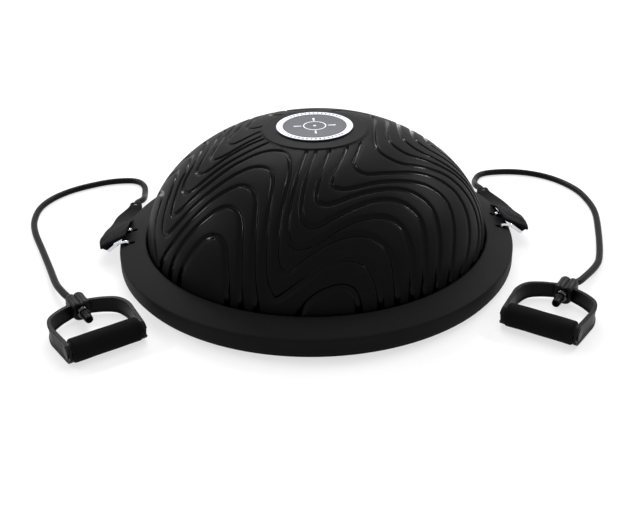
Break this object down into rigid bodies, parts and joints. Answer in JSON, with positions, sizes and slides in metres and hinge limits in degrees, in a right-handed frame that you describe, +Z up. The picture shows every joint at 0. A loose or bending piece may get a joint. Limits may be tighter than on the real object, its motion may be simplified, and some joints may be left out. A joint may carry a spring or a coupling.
{
  "type": "balance dome trainer",
  "caption": "Inflatable half-dome balance trainer on a flat round base, with chrome side rings, webbing straps and rubber resistance tubes that end in D-shaped foam handles.",
  "frame": {"origin": "on the floor under the middle of the dome, at the centre of the middle pad's lower face", "axes": "+Z up along the dome's axis, X through the two chrome rings, -Y towards the handles' side (the front)"},
  "size_m": [0.9112, 0.5853, 0.2005],
  "materials": {
    "base_plastic": "moulded black plastic with a satin grain",
    "bladder_vinyl": "satin black vinyl skin with raised contour ribs",
    "badge_print": "pale ring printed round a grey-blue centre",
    "pad_rubber": "ribbed grey-black rubber",
    "screw_steel": "zinc-plated steel",
    "valve_plastic": "soft dark plastic",
    "chrome_wire": "bright chrome plate on bent steel wire",
    "webbing": "black woven polypropylene webbing",
    "ferrule": "glossy black moulded ferrule",
    "tube_rubber": "smooth black latex rubber",
    "handle_plastic": "satin black moulded nylon",
    "grip_foam": "matt black closed-cell foam"
  },
  "bodies": {
    "root": {"platform": "base_plastic", "cover_ring": "base_plastic", "dome_bladder": "bladder_vinyl", "top_badge": "badge_print", "anti_slip_pads": "pad_rubber", "platform_screws": "screw_steel", "inlet_valve": "valve_plastic", "retainer_screws": "screw_steel", "ring_retainer_left": "base_plastic", "ring_retainer_right": "base_plastic", "strap_tail_left": "webbing", "strap_tail_right": "webbing", "strap_plug_left": "ferrule", "strap_plug_right": "ferrule", "tube_left": "tube_rubber", "tube_right": "tube_rubber", "tube_collar_left": "ferrule", "tube_collar_right": "ferrule", "tube_stopper_left": "tube_rubber", "tube_stopper_right": "tube_rubber"},
    "plug": {"inlet_plug": "valve_plastic"},
    "ring_left": {"d_ring_left": "chrome_wire", "strap_loop_left": "webbing"},
    "ring_right": {"d_ring_right": "chrome_wire", "strap_loop_right": "webbing"},
    "handle_left": {"stirrup_left": "handle_plastic", "grip_caps_left": "handle_plastic"},
    "grip_left": {"grip_core_left": "handle_plastic", "foam_grip_left": "grip_foam"},
    "handle_right": {"stirrup_right": "handle_plastic", "grip_caps_right": "handle_plastic"},
    "grip_right": {"grip_core_right": "handle_plastic", "foam_grip_right": "grip_foam"}
  },
  "joints": [
    {"name": "inlet_plug_pull", "type": "slide", "parent": "root", "child": "plug", "axis": [0, 0, -1], "range_m": [0, 0.012]},
    {"name": "ring_left_swing", "type": "hinge", "parent": "root", "child": "ring_left", "pos_m": [-0.274, 0, 0.029], "axis": [0, 1, 0], "range_deg": [0, 60]},
    {"name": "ring_right_swing", "type": "hinge", "parent": "root", "child": "ring_right", "pos_m": [0.274, 0, 0.029], "axis": [0, -1, 0], "range_deg": [0, 60]},
    {"name": "handle_left_swivel", "type": "hinge", "parent": "root", "child": "handle_left", "pos_m": [-0.32809, -0.15866, 0.016], "axis": [-0.4848, 0.8746, 0], "range_deg": [-180, 180]},
    {"name": "grip_left_spin", "type": "hinge", "parent": "handle_left", "child": "grip_left", "pos_m": [-0.283, -0.24, 0.016], "axis": [0.8746, 0.4848, 0], "continuous": true},
    {"name": "handle_right_swivel", "type": "hinge", "parent": "root", "child": "handle_right", "pos_m": [0.32666, -0.17976, 0.016], "axis": [0.5878, 0.809, 0], "range_deg": [-180, 180]},
    {"name": "grip_right_spin", "type": "hinge", "parent": "handle_right", "child": "grip_right", "pos_m": [0.272, -0.255, 0.016], "axis": [0.809, -0.5878, 0], "continuous": true}
  ]
}
